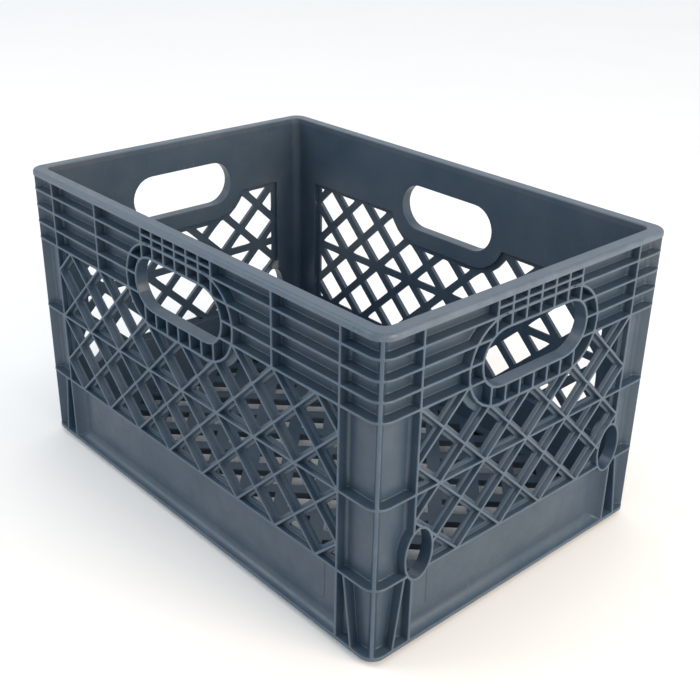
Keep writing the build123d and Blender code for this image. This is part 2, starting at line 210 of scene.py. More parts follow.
class Oval:
    """An ellipse; its distance is positive outside and true near the line."""

    def __init__(self, centre, half_width, half_height, kind="oval"):
        self.centre, self.kind = np.array(centre, float), kind
        self.half = np.array([half_width, half_height])

    def points(self, steps=40):
        turns = np.linspace(0, 2 * math.pi, steps + 1)
        return [self.centre + self.half * (math.cos(t), math.sin(t)) for t in turns]

    def distance(self, p):
        unit = (p - self.centre) / self.half
        size = np.maximum(np.linalg.norm(unit, axis=-1), 1e-6)
        slope = np.maximum(np.linalg.norm(unit / self.half, axis=-1), 1e-6)
        return (size - 1) * size / slope


def split_into_cells(curves, keep):
    """Split curves where they cross. Returns each cell between them as a loop of
    points and the curve that each step of the loop follows."""
    corners, steps, owners = [], [], []
    for curve in curves:
        first = len(corners)
        corners += [Vector(p) for p in curve.points()]
        steps += [(k, k + 1) for k in range(first, len(corners) - 1)]
        owners += [curve] * (len(corners) - 1 - first)
    found, edges, _, _, sources, _ = delaunay_2d_cdt(corners, steps, [], CROSSINGS, 1e-3)
    spots = np.array([tuple(v) for v in found])
    owner_of, around = {}, {}
    for (a, b), source in zip(edges, sources):
        kept = [owners[s] for s in source if keep((spots[a] + spots[b]) / 2, owners[s])]
        if kept:
            owner_of[a, b] = owner_of[b, a] = kept[0]
            around.setdefault(a, []).append(b)
            around.setdefault(b, []).append(a)
    for a, near in around.items():
        near.sort(key=lambda b: math.atan2(*(spots[b] - spots[a])[::-1]))
    unused, cells = set(owner_of), []
    while unused:
        a, b = begin = min(unused)
        loop = []
        while True:
            unused.discard((a, b))
            loop.append((a, b))
            near = around[b]
            a, b = b, near[near.index(a) - 1]
            if (a, b) == begin:
                break
        points = spots[[a for a, b in loop]]
        after = np.roll(points, -1, axis=0)
        area = np.sum(points[:, 0] * after[:, 1] - points[:, 1] * after[:, 0]) / 2
        if area > SMALLEST_CELL:
            cells.append((points, [owner_of[step] for step in loop]))
    return cells


def inside(loop, p):
    """Which of the points p lie inside a loop."""
    after = np.roll(loop, -1, axis=0)
    hits = np.zeros(len(p), int)
    for (x0, z0), (x1, z1) in zip(loop, after):
        crosses = (z0 > p[:, 1]) != (z1 > p[:, 1])
        at = x0 + (p[:, 1] - z0) * (x1 - x0) / (z1 - z0 if z1 != z0 else 1)
        hits += crosses & (p[:, 0] < at)
    return hits % 2 == 1


def spots_inside(loop, count):
    """A grid of points inside a loop, or its middle if it is too narrow for any."""
    low, high = loop.min(0), loop.max(0)
    grid = np.meshgrid(np.linspace(low[0], high[0], count), np.linspace(low[1], high[1], count))
    grid = np.stack(grid, -1).reshape(-1, 2)
    grid = grid[inside(loop, grid)]
    return grid if len(grid) else loop.mean(0)[None]


def sample_loop(points, owners, step):
    """Points along a loop, closer together near its corners."""
    loop = []
    for a, b, owner in zip(points, np.roll(points, -1, axis=0), owners):
        length = np.linalg.norm(b - a)
        marks = [0.0]
        if isinstance(owner, Line):
            marks += [d for d in NEAR_ENDS if d < END_SHARE * length]
            middle = length - 2 * marks[-1]
            pieces = max(1, math.ceil(middle / step))
            last = marks[-1]
            ends = [length - m for m in reversed(marks)]
            marks += [last + middle * k / pieces for k in range(1, pieces)] + ends
            marks = marks[:-1]
        loop += [a + (b - a) * m / length for m in marks]
    return np.array(loop)


def rounded_least(gaps, radius):
    """The least of several distances, with its corners rounded."""
    short = np.sqrt(sum(np.maximum(radius - gap, 0) ** 2 for gap in gaps))
    return np.maximum(np.minimum.reduce(gaps), radius) - short


def solve_rings(loop, walls, reach, radius):
    """Move a loop inwards to where each wall is at its own distance.
    reach[wall] and radius have one value for each ring."""
    p = np.repeat(loop[None], len(radius), axis=0)
    rounding = np.array(radius)[:, None]
    limits = [np.array(r)[:, None] for r in reach]

    def least(q):
        gaps = [sign * w.distance(q) - r for (w, sign), r in zip(walls, limits)]
        return rounded_least(gaps, rounding)

    shift = 1e-3
    for _ in range(FLOW_STEPS):
        value = least(p)
        slope_x = (least(p + (shift, 0)) - value) / shift
        slope_z = (least(p + (0, shift)) - value) / shift
        steep = np.maximum(slope_x**2 + slope_z**2, FLATTEST_SLOPE)
        move = np.minimum(np.maximum(-value / steep, 0), LONGEST_MOVE)
        move = np.where(value < -CLOSE, move, np.maximum(-value / steep, -LONGEST_RETURN))
        p = p + np.stack([move * slope_x, move * slope_z], -1)
    return p


# ---------------------------------------------------------------- building pieces
class Piece:
    """Collects faces in metres, then becomes one object that replaces a CAD node."""

    def __init__(self):
        self.faces, self.seams = [], {}

    def quads(self, first, second):
        """Faces between two closed loops of equal length."""
        for a, b, c, d in zip(first, np.roll(first, -1, 0), np.roll(second, -1, 0), second):
            self.faces.append((a, b, c, d))

    def seam(self, front, back):
        """Note the steps of a cell's outline, to close those on the piece's own edge."""
        for a, b, c, d in zip(front, np.roll(front, -1, 0), np.roll(back, -1, 0), back):
            key = frozenset((tuple(np.round(a, 6)), tuple(np.round(b, 6))))
            self.seams[key] = None if key in self.seams else (a, b, c, d)

    def build(self, name):
        """The collected faces as a mesh, welded together and facing outwards."""
        mesh = bmesh.new()
        for face in self.faces + [s for s in self.seams.values() if s]:
            mesh.faces.new([mesh.verts.new(p) for p in face])
        bmesh.ops.remove_doubles(mesh, verts=mesh.verts, dist=WELD)
        bmesh.ops.dissolve_degenerate(mesh, edges=mesh.edges, dist=WELD / 2)
        bmesh.ops.recalc_face_normals(mesh, faces=mesh.faces)
        data = bpy.data.meshes.new(name)
        mesh.to_mesh(data)
        mesh.free()
        return data


pieces = {}


def piece(name):
    """The piece of a CAD node, begun when it is first asked for."""
    return pieces.setdefault(name, Piece())


def settle(ring, gap=SAME_PLACE):
    """Draw neighbouring points of a ring that have run together into one place."""
    ring = ring.copy()
    anchor = 0
    for k in range(1, len(ring)):
        if np.linalg.norm(ring[k] - ring[anchor]) < gap:
            ring[k] = ring[anchor]
        else:
            anchor = k
    for k in range(len(ring) - 1, 0, -1):
        if np.linalg.norm(ring[k] - ring[0]) >= gap:
            break
        ring[k] = ring[0]
    return ring


def distinct(ring):
    """A ring without its repeated points."""
    return ring[np.linalg.norm(ring - np.roll(ring, 1, axis=0), axis=1) > 1e-6]


def fill(loop, spacing):
    """One flat face over a loop, or triangles with points inside it every spacing along x."""
    if not spacing or len(loop) < 4:
        return loop, [list(range(len(loop)))] if len(loop) > 2 else []
    corners = [Vector(p) for p in loop]
    extra = []
    low, high = loop.min(0), loop.max(0)
    rows = max(3, int((high[1] - low[1]) / TALL_FILL) + 2)
    xs = np.arange(low[0] + spacing / 2, high[0], spacing)
    zs = np.linspace(low[1], high[1], rows)[1:-1]
    grid = np.array([(x, z) for x in xs for z in zs]).reshape(-1, 2)
    grid = grid[inside(loop, grid)]
    if len(grid):
        gap = np.min(np.linalg.norm(grid[:, None] - loop[None], axis=-1), axis=1)
        extra = [Vector(p) for p in grid[gap > spacing / 3]]
    outline = [list(range(len(corners)))]
    result = delaunay_2d_cdt(corners + extra, [], outline, TRIANGLES, 1e-4)
    return np.array([tuple(v) for v in result[0]]), result[2]


def add_cell(target, points, owners, levels, back_levels, back_depth, put, curved):
    """Add one cell to a piece. levels are (depth, corner radius, reach by wall) from the
    rib edge inwards; back_levels are (corner radius, reach by wall) from the centre
    lines to the opening, on the inner face, or None for a closed cell."""
    loop = sample_loop(points, owners, CURVED_STEP if curved else FLAT_STEP)
    curves = list(dict.fromkeys(owners))
    grid = spots_inside(points, FINE_GRID)
    gaps = [np.abs(c.distance(grid)) for c in curves]
    deepest = grid[np.argmax(np.minimum.reduce(gaps))]
    walls = [(c, 1.0 if c.distance(deepest) > 0 else -1.0) for c in curves]

    def room(reach):
        return np.max(np.minimum.reduce([g - reach(c) for g, c in zip(gaps, curves)]))

    def rings_at(radii, reaches):
        by_wall = [[reach(c) for reach in reaches] for c, _ in walls]
        return [settle(ring) for ring in solve_rings(loop, walls, by_wall, radii)]

    def join(stack):
        for first, second in zip(stack, stack[1:]):
            target.quads(first, second)

    fitting = []
    for level in levels:
        if room(level[2]) < LEAST_ROOM:
            break
        fitting.append(level)
    front, back = put(loop, 0.0), put(loop, back_depth(loop))
    rings, placed, depth = [loop], [front], 0.0
    if fitting:
        depths, radii, reaches = zip(*fitting)
        rings, depth = rings_at(radii, reaches), depths[-1]
        placed += [put(ring, at) for ring, at in zip(rings, depths)]
    join(placed)
    if back_levels is not None and len(fitting) == len(levels):
        inner = [put(ring, back_depth(ring)) for ring in rings_at(*zip(*back_levels))]
        join([back] + inner + [placed[-1]])
    else:
        spacing = CURVED_FILL if curved else 0
        spots, faces = fill(distinct(rings[-1]), spacing)
        solid = put(spots, depth)
        target.faces += [[solid[k] for k in face] for face in faces]
        spots, faces = fill(distinct(loop), spacing)
        solid = put(spots, back_depth(spots))
        target.faces += [[solid[k] for k in face] for face in faces]
    target.seam(front, back)


# ---------------------------------------------------------------- ring profiles
def quarter(radius, along):
    """How far a quarter circle has come in, at a distance along it."""
    return radius * (1 - math.sqrt(max(0, 1 - (along / radius) ** 2)))


def plain(c):
    """Reach of a rib's side, the same for every curve."""
    return HALF_RIB


def thickness(c):
    """Half thickness of a rib, from its centre line."""
    return HALF_THICKNESS.get(c.kind, HALF_RIB)


def tip_levels(half, radius=TIP_CORNER):
    """Round a rib's front edge. half(curve) is its half thickness."""
    found = []
    for turn in (0, 30, 60, 90):
        angle = math.radians(turn)
        back = TIP * (1 - math.sin(angle))
        depth = TIP * (1 - math.cos(angle))
        thinnest = 0.06 + turn / 600   # keeps a ring clear of the centre line

        def reach(c, back=back, thinnest=thinnest):
            return max(half(c) - back, thinnest)

        found.append((depth, radius, reach))
    return found


def root_reaches(base):
    """Depths down a rib's side and round its fillet into a base, with how far each
    stands out from the rib."""
    found = []
    for turn in (0, 35, 62, 90):
        angle = math.radians(turn)
        out = DRAFT + ROOT * (1 - math.cos(angle))
        found.append((base - ROOT * (1 - math.sin(angle)), out))
    return found


def bend_scale(depth):
    """How much the unrolled arc near a corner grows or shrinks with depth."""
    return (path_length(0) - BEND_START) / (path_length(depth) - BEND_START)


def path_length(depth):
    """From a post's edge round the bend to the corner's diagonal."""
    radius = corner_radius(depth)
    return CORNER_LEG - depth - radius + radius * math.pi / 4


def corner_radius(depth):
    """Radius of the bend round a corner at a depth."""
    radii = [RIB_CORNER, SKIN_CORNER, SKIN_CORNER, LIP_CORNER]
    return np.interp(depth, [0, RIB_DEPTH, WALL, WALL + LIP], radii)


def closed_levels():
    """Rib edge, side, fillet and skin of a closed cell."""
    levels = tip_levels(thickness)
    for depth in POST_DEPTHS:
        thin = quarter(ROOT, max(0, depth - RIB_DEPTH + ROOT))
        thick = quarter(POST_ROOT, max(0, depth - RIB_DEPTH + POST_ROOT))
        scale = bend_scale(depth)

        def reach(c, thin=thin, thick=thick, scale=scale):
            out = DRAFT + (thick if c.kind in ("post_edge", "blade") else thin)
            return (thickness(c) + out) * (scale if c.kind == "blade" else 1)

        levels.append((depth, ROOT_CORNER, reach))
    return levels


def to_opening(back):
    """Reach of an opening's edge, less a step back from it."""
    def reach(c):
        return opening(c) - (0 if c.kind == "oval" else back)
    return reach


def lattice_levels():
    """Web, flange and rounded opening of a lattice cell, seen from outside."""
    levels = tip_levels(plain)
    for depth, out in root_reaches(WEB_DEPTH):
        def reach(c, out=out):
            return TUBE if c.kind == "oval" else HALF_RIB + out

        levels.append((depth, ROOT_CORNER, reach))
    rounding = ((EDGE, 0), (EDGE_BACK, EDGE_BACK), (0, EDGE), (0, LATTICE - EDGE - WEB_DEPTH))
    for back, below in rounding:
        levels.append((WEB_DEPTH + below, OPENING_CORNER, to_opening(back)))
    return levels


def opening(curve):
    """Centre line of a wall to the edge of the opening beside it."""
    return OPENING.get(curve.kind, BORDER)


def lattice_back_levels():
    """The inner face of a lattice cell, from the centre lines to the opening."""
    levels = []
    for bar, step in zip(BAR_AT, STEP_AT[1:]):
        def reach(c, bar=bar, step=step):
            if c.kind == "bar":
                return bar
            return min(step, TUBE) if c.kind == "oval" else step

        levels.append((BACK_CORNER + bar / 3, reach))
    return levels + [(OPENING_CORNER, to_opening(back)) for back in (EDGE, EDGE_BACK)]


def hole_levels():
    """Rounded mouth of a collar and the tunnel behind it."""
    return tip_levels(plain, HOLE_CORNER) + [(WALL - TIP, HOLE_CORNER, plain)]


def hole_back_levels():
    """Inner mouth of a hole, from the centre line inwards."""
    levels = []
    for turn in (0, 30, 60):
        back = TIP * (1 - math.sin(math.radians(turn)))
        levels.append((HOLE_CORNER, lambda c, back=back: HALF_RIB - back))
    return levels


def hole_back_depth(curve):
    """Depth of a hole's inner mouth, rounded towards the hole."""
    def depth(p):
        inwards = np.clip(-curve.distance(p) - (HALF_RIB - TIP), 0, TIP)
        return WALL - TIP + np.sqrt(np.maximum(TIP**2 - inwards**2, 0))
    return depth


def skirt_levels(pad_end):
    """Skirt with its end coves, bottom cove and raised pad."""
    def end_cove(depth):
        return quarter(END_COVE, depth + END_COVE - RIB_DEPTH)

    def half(c):
        return thickness(c) + (end_cove(0) if c.kind == "post_edge" else 0)

    levels = tip_levels(half)
    for depth in SKIRT_DEPTHS:
        rest = HALF_RIB + DRAFT + quarter(ROOT, max(0, depth - RIB_DEPTH + ROOT))
        coves = {
            "post_edge": HALF_RIB + end_cove(depth),
            "bottom": BOTTOM_FLANGE + quarter(COVE, depth),
        }

        def reach(c, coves=coves, rest=rest):
            return coves.get(c.kind, rest)

        levels.append((depth, COVE_CORNER, reach))
    for raise_by, back in PAD_EDGE:
        pad = {
            "post_edge": pad_end - back,
            "bottom": PAD_LOW - FOOT - back,
            "oval": HALF_RIB + PAD_GAP - back,
            "rib": RIB_6 - PAD_HIGH - back,
        }
        levels.append((RIB_DEPTH - raise_by, PAD_CORNER, lambda c, pad=pad: pad[c.kind]))
    return levels


# ---------------------------------------------------------------- walls
class Wall:
    """One wall, unrolled, and the way its points go into the crate's frame."""

    def __init__(self, name, turn, distance, half_span, leg):
        self.name, self.distance, self.half_span, self.leg = name, distance, half_span, leg
        self.turn = math.radians(turn)
        self.end = half_span + leg - RIB_CORNER + RIB_CORNER * math.pi / 4   # on the diagonal

    def put(self, spots, depth):
        """Unrolled points (x, z) at a depth, as points in metres."""
        depth = np.broadcast_to(np.asarray(depth, float), spots.shape[:1])
        radius = corner_radius(depth)
        u = np.abs(spots[:, 0]) - self.half_span
        straight = self.leg - depth - radius
        length = straight + radius * math.pi / 4
        full = self.end - self.half_span - BEND_START
        bent = BEND_START + (u - BEND_START) * (length - BEND_START) / full
        v = np.where(u > BEND_START, bent, u)
        angle = np.maximum(v - straight, 0) / radius
        along = self.half_span + np.minimum(v, straight) + radius * np.sin(angle)
        along = along * np.sign(spots[:, 0])
        inwards = depth + radius * (1 - np.cos(angle))
        x, y = along, inwards - self.distance
        cosine, sine = math.cos(self.turn), math.sin(self.turn)
        return np.stack([cosine * x - sine * y, sine * x + cosine * y, spots[:, 1]], 1) * MM


def corner_name(wall, side):
    """Name of the corner at one end of a wall."""
    names = {
        "front": ("front_left", "front_right"),
        "right": ("front_right", "back_right"),
        "back": ("back_right", "back_left"),
        "left": ("back_left", "front_left"),
    }
    return names[wall.name][side > 0]


LEG_LONG = HALF_LENGTH - OVERHANG - EDGE_LONG
LEG_SHORT = HALF_WIDTH - OVERHANG - EDGE_SHORT
WALLS = [
    Wall("front", 0, HALF_WIDTH - OVERHANG, EDGE_LONG, LEG_LONG),
    Wall("right", 90, HALF_LENGTH - OVERHANG, EDGE_SHORT, LEG_SHORT),
    Wall("back", 180, HALF_WIDTH - OVERHANG, EDGE_LONG, LEG_LONG),
    Wall("left", 270, HALF_LENGTH - OVERHANG, EDGE_SHORT, LEG_SHORT),
]

RING = Slot(GRIP_HALF - HALF_RIB, RING_RADIUS, RING_CENTRE, "ring")
COLLAR = Slot(COLLAR_HALF, COLLAR_RADIUS, COLLAR_CENTRE, "collar")


def wall_curves(wall):
    """Centre lines of all ribs on a wall."""
    half, end = wall.half_span, wall.end
    is_long = half == EDGE_LONG
    curves = [RING, COLLAR]
    curves.append(Line((-end, FOOT), (end, FOOT), "bottom"))
    curves.append(Line((-end, RIM_UNDER), (end, RIM_UNDER), "rim"))
    for z in (RIB_1, RIB_2, RIB_3, RIB_4, RIB_6):
        curves.append(Line((-end, z), (end, z)))
    for sign in (-1, 1):
        curves.append(Line((sign * end, FOOT), (sign * end, RIM_UNDER), "blade"))
        curves.append(Line((sign * half, FOOT), (sign * half, RIM_UNDER), "post_edge"))
        curves.append(Line((sign * half, RIB_5), (sign * end, RIB_5)))
        top, bottom = sign * (half + GUSSET_TOP), sign * (half + GUSSET_BOTTOM)
        curves.append(Line((top, RIB_6), (bottom, FOOT)))
        if is_long:
            curves.append(Line((sign * BAND_UPRIGHT, RIB_4), (sign * BAND_UPRIGHT, RIM_UNDER)))
        else:
            curves.append(Oval((sign * SLEEVE_X, SLEEVE_Z), SLEEVE_A, SLEEVE_B))
    for step in range(-GRID_SIDE, GRID_SIDE + 1):
        x = step * GRID_STEP
        start = (x, RING_CENTRE - RING_RADIUS - GRID_BELOW)
        curves.append(Line(start, (x, RIM_UNDER), "grid"))
    curves.append(Line((-GRID_HALF, GRID_RIB), (GRID_HALF, GRID_RIB), "grid"))
    curves.append(Line((-half, RIB_5), (half, RIB_5), "bar"))
    pitch = PITCH_LONG if is_long else PITCH_SHORT
    bays = BAYS_LONG if is_long else BAYS_SHORT
    phase = 0 if is_long else 0.5
    rise = HALF_ROWS * ROW
    run = HALF_ROWS / 2 * pitch
    for step in range(-HALF_ROWS, bays + HALF_ROWS + 1):
        x = -half + (step + phase) * pitch
        for lean in (-1, 1):
            low, high = (x - lean * run, RIB_5 - rise), (x + lean * run, RIB_5 + rise)
            curves.append(Line(low, high, "bar"))
    return curves


def in_lattice(wall, spot, curves):
    """True inside the open lattice of a wall."""
    ovals = [c for c in curves if isinstance(c, Oval)]
    clear = all(c.distance(spot) > 0 for c in ovals + [RING])
    return abs(spot[0]) < wall.half_span and RIB_6 < spot[1] < RIB_4 and clear


def keeps(wall, curves):
    """A test of whether a stretch of centre line is there."""
    ovals = [c for c in curves if isinstance(c, Oval)]

    def keep(spot, curve):
        if curve.kind == "bar":
            return in_lattice(wall, spot, curves)
        if curve.kind in ("ring", "collar", "oval"):
            return True
        if COLLAR.distance(spot) < -ON_LINE or any(c.distance(spot) < -ON_OVAL for c in ovals):
            return False
        if curve.kind == "grid":
            return RING.distance(spot) < 0 or spot[1] > RING_CENTRE + RING_RADIUS / 2
        return True

    return keep


def wall_cell_piece(wall, spot, curves):
    """Name of the CAD node that a cell belongs to."""
    side = 1 if spot[0] > 0 else -1
    end = "right" if side > 0 else "left"
    if COLLAR.distance(spot) < 0 or RING.distance(spot) < 0:
        return f"hand_grip_{wall.name}"
    if any(c.distance(spot) < 0 for c in curves if isinstance(c, Oval)):
        return f"oval_sleeve_{wall.name}_{end}"
    if abs(spot[0]) > wall.half_span:
        return f"corner_{'post' if spot[1] > RIB_6 else 'foot'}_{corner_name(wall, side)}"
    if spot[1] > RIB_4:
        in_grid = abs(spot[0]) < GRID_HALF
        return f"hand_grip_{wall.name}" if in_grid else f"upper_band_{wall.name}_{end}"
    return f"side_lattice_{wall.name}" if spot[1] > RIB_6 else f"skirt_{wall.name}"


def deepest_spot(points, owners):
    """The point of a cell that is farthest from its walls."""
    grid = spots_inside(points, COARSE_GRID)
    return grid[np.argmax(np.minimum.reduce([np.abs(c.distance(grid)) for c in set(owners)]))]


def build_wall(wall):
    """Add every cell of a wall to the piece that it belongs to."""
    curves = wall_curves(wall)
    borders = [c for c in curves if c.kind in ("ring", "oval", "post_edge")]
    level = [c for c in curves if c.kind == "rib" and c.start[1] == c.end[1]]
    borders += [c for c in level if c.start[1] in (RIB_4, RIB_6)]
    is_long = wall.half_span == EDGE_LONG

    def flat(p):
        return np.full(len(p), WALL)

    def stepped(p):
        gap = np.minimum.reduce([np.abs(c.distance(p)) for c in borders])
        return np.interp(gap, STEP_AT, STEP_DEPTH)

    for points, owners in split_into_cells(curves, keeps(wall, curves)):
        spot = deepest_spot(points, owners)
        name = wall_cell_piece(wall, spot, curves)
        curved = abs(spot[0]) > wall.half_span
        if name.startswith("side_lattice"):
            shape = lattice_levels(), lattice_back_levels(), stepped
        elif name.startswith("oval_sleeve") or COLLAR.distance(spot) < 0:
            shape = hole_levels(), hole_back_levels(), hole_back_depth(owners[0])
        elif name.startswith("skirt"):
            shape = skirt_levels(PAD_END_LONG if is_long else PAD_END_SHORT), None, flat
        else:
            shape = closed_levels(), None, flat
        add_cell(piece(name), points, owners, *shape, wall.put, curved)


def add_lip(wall, start, end, name, shared_end):
    """The bottom flange inside the wall, from one place along it to another."""
    soft, overlap, stations_round = 0.6, 0.3, 15
    low, high = FOOT, FOOT + BOTTOM_FLANGE
    outer, inner = WALL - overlap, WALL + LIP
    section = [(outer, low), (inner - soft, low)]
    section += [(inner - soft / 3, low + soft / 3), (inner, low + soft)]
    section += [(d, low + high - z) for d, z in reversed(section)]
    depths = np.array([depth for depth, _ in section])
    target = piece(name)
    stations = np.linspace(start, end, stations_round if shared_end else 2)
    loops = [wall.put(np.array([(x, z) for _, z in section]), depths) for x in stations]
    for first, second in zip(loops, loops[1:]):
        target.quads(first, second)
    target.faces.append(list(loops[0]))
    if not shared_end:
        target.faces.append(list(loops[-1]))


for wall in WALLS:
    build_wall(wall)
    add_lip(wall, -wall.half_span, wall.half_span, f"skirt_{wall.name}", False)
    for side in (-1, 1):
        foot = f"corner_foot_{corner_name(wall, side)}"
        add_lip(wall, side * wall.half_span, side * wall.end, foot, True)
built = {}
for name, made in pieces.items():
    data = made.build(name)
    obj = bpy.data.objects.new(name + "_shell", data)
    bpy.context.scene.collection.objects.link(obj)
    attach(obj, "root")
    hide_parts(name)
    built[name] = obj


def slot_of(name):
    """The record's slot that a piece takes its finish from."""
    if name.startswith("rim"):
        return "crate_rim"
    if name.startswith(("upper_band", "hand_grip", "side_lattice", "oval_sleeve")):
        return "crate_ribs"
    return "crate_body"


# ---------------------------------------------------------------- moulding marks on the rim
MARK_RADIUS, MARK_TUBE = 1.15, 0.28
MARK_STAND = 0.8             # how much of its tube's radius a mark stands out by
MARK_TURNS, MARK_AROUND = 24, 8
MARK_PLACES = (14.5, 19.0)   # past the post's edge


def ring_mark(mesh, x, z):
    """A tiny raised ring on the rim's outer face."""
    verts = []
    for k in range(MARK_TURNS):
        turn = 2 * math.pi * k / MARK_TURNS
        for j in range(MARK_AROUND):
            around = 2 * math.pi * j / MARK_AROUND
            reach = MARK_RADIUS + MARK_TUBE * math.cos(around)
            y = -HALF_WIDTH - MARK_TUBE * MARK_STAND * math.sin(around)
            spot = (x + reach * math.cos(turn), y, z + reach * math.sin(turn))
            verts.append(mesh.verts.new([value * MM for value in spot]))
    for k in range(MARK_TURNS):
        for j in range(MARK_AROUND):
            j2, k2 = (j + 1) % MARK_AROUND, (k + 1) % MARK_TURNS
            corners = ((k, j), (k, j2), (k2, j2), (k2, j))
            mesh.faces.new([verts[a * MARK_AROUND + b] for a, b in corners])


marks_mesh = bmesh.new()
for place in MARK_PLACES:
    ring_mark(marks_mesh, EDGE_LONG + place, (RIM_UNDER + HEIGHT) / 2)
bmesh.ops.recalc_face_normals(marks_mesh, faces=marks_mesh.faces)
marks_data = bpy.data.meshes.new("rim_marks")
marks_mesh.to_mesh(marks_data)
marks_mesh.free()
marks = bpy.data.objects.new("rim_marks", marks_data)
bpy.context.scene.collection.objects.link(marks)
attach(marks, "root")


# ---------------------------------------------------------------- materials
class Tree:
    """A material and short ways to add nodes to it."""

    def __init__(self, name):
        self.material = bpy.data.materials.new(name)
        self.material.use_nodes = True
        self.nodes = self.material.node_tree.nodes
        self.shader = self.nodes["Principled BSDF"]

    def link(self, value, socket):
        if isinstance(value, bpy.types.NodeSocket):
            self.material.node_tree.links.new(value, socket)
        else:
            socket.default_value = value

    def add(self, kind, inputs, out=0, **settings):
        node = self.nodes.new("ShaderNode" + kind)
        for key, value in settings.items():
            setattr(node, key, value)
        for key, value in inputs.items():
            self.link(value, node.inputs[key])
        return node.outputs[out]

    def vector(self, operation, *values, out=0):
        return self.add("VectorMath", dict(enumerate(values)), out=out, operation=operation)

    def math(self, operation, *values, clamp=False):
        return self.add("Math", dict(enumerate(values)), operation=operation, use_clamp=clamp)

    def ramp(self, value, low, high, to_low=0.0, to_high=1.0):
        """Ease a value from one range to another."""
        inputs = {"Value": value, "From Min": low, "From Max": high}
        inputs.update({"To Min": to_low, "To Max": to_high})
        return self.add("MapRange", inputs, interpolation_type="SMOOTHSTEP")

    def noise(self, place, scale, detail=3.0, roughness=0.55):
        inputs = {"Vector": place, "Scale": scale, "Detail": detail, "Roughness": roughness}
        return self.add("TexNoise", inputs)

    def mix(self, share, first, second):
        inputs = {0: share, 6: first, 7: second}
        return self.add("Mix", inputs, out=2, data_type="RGBA")

    def bump(self, height, distance, strength, normal=None):
        inputs = {"Height": height, "Distance": distance, "Strength": strength}
        if normal:
            inputs["Normal"] = normal
        return self.add("Bump", inputs)


# Sizes of the surface's patterns, as repeats in a metre.
MOTTLE, PATCHES, PEEL, GRAIN, FINE_GRAIN = 13.0, 62.0, 240.0, 620.0, 1500.0
STREAKS = (420, 420, 16)
WHITE_SHIFT, SCRATCH_SHIFT = 0.035, 0.05
EDGE_WEAR_AND_HIGHLIGHT = (0.15, 1.5)      # scuffs and painted highlight on the rib edges fade between these depths, mm
FOOT_WEAR = 10.0
CROWN_WEAR_AND_SHEEN = (1.6, 0.2)      # scuffs and painted reflection, below the rim's top, mm


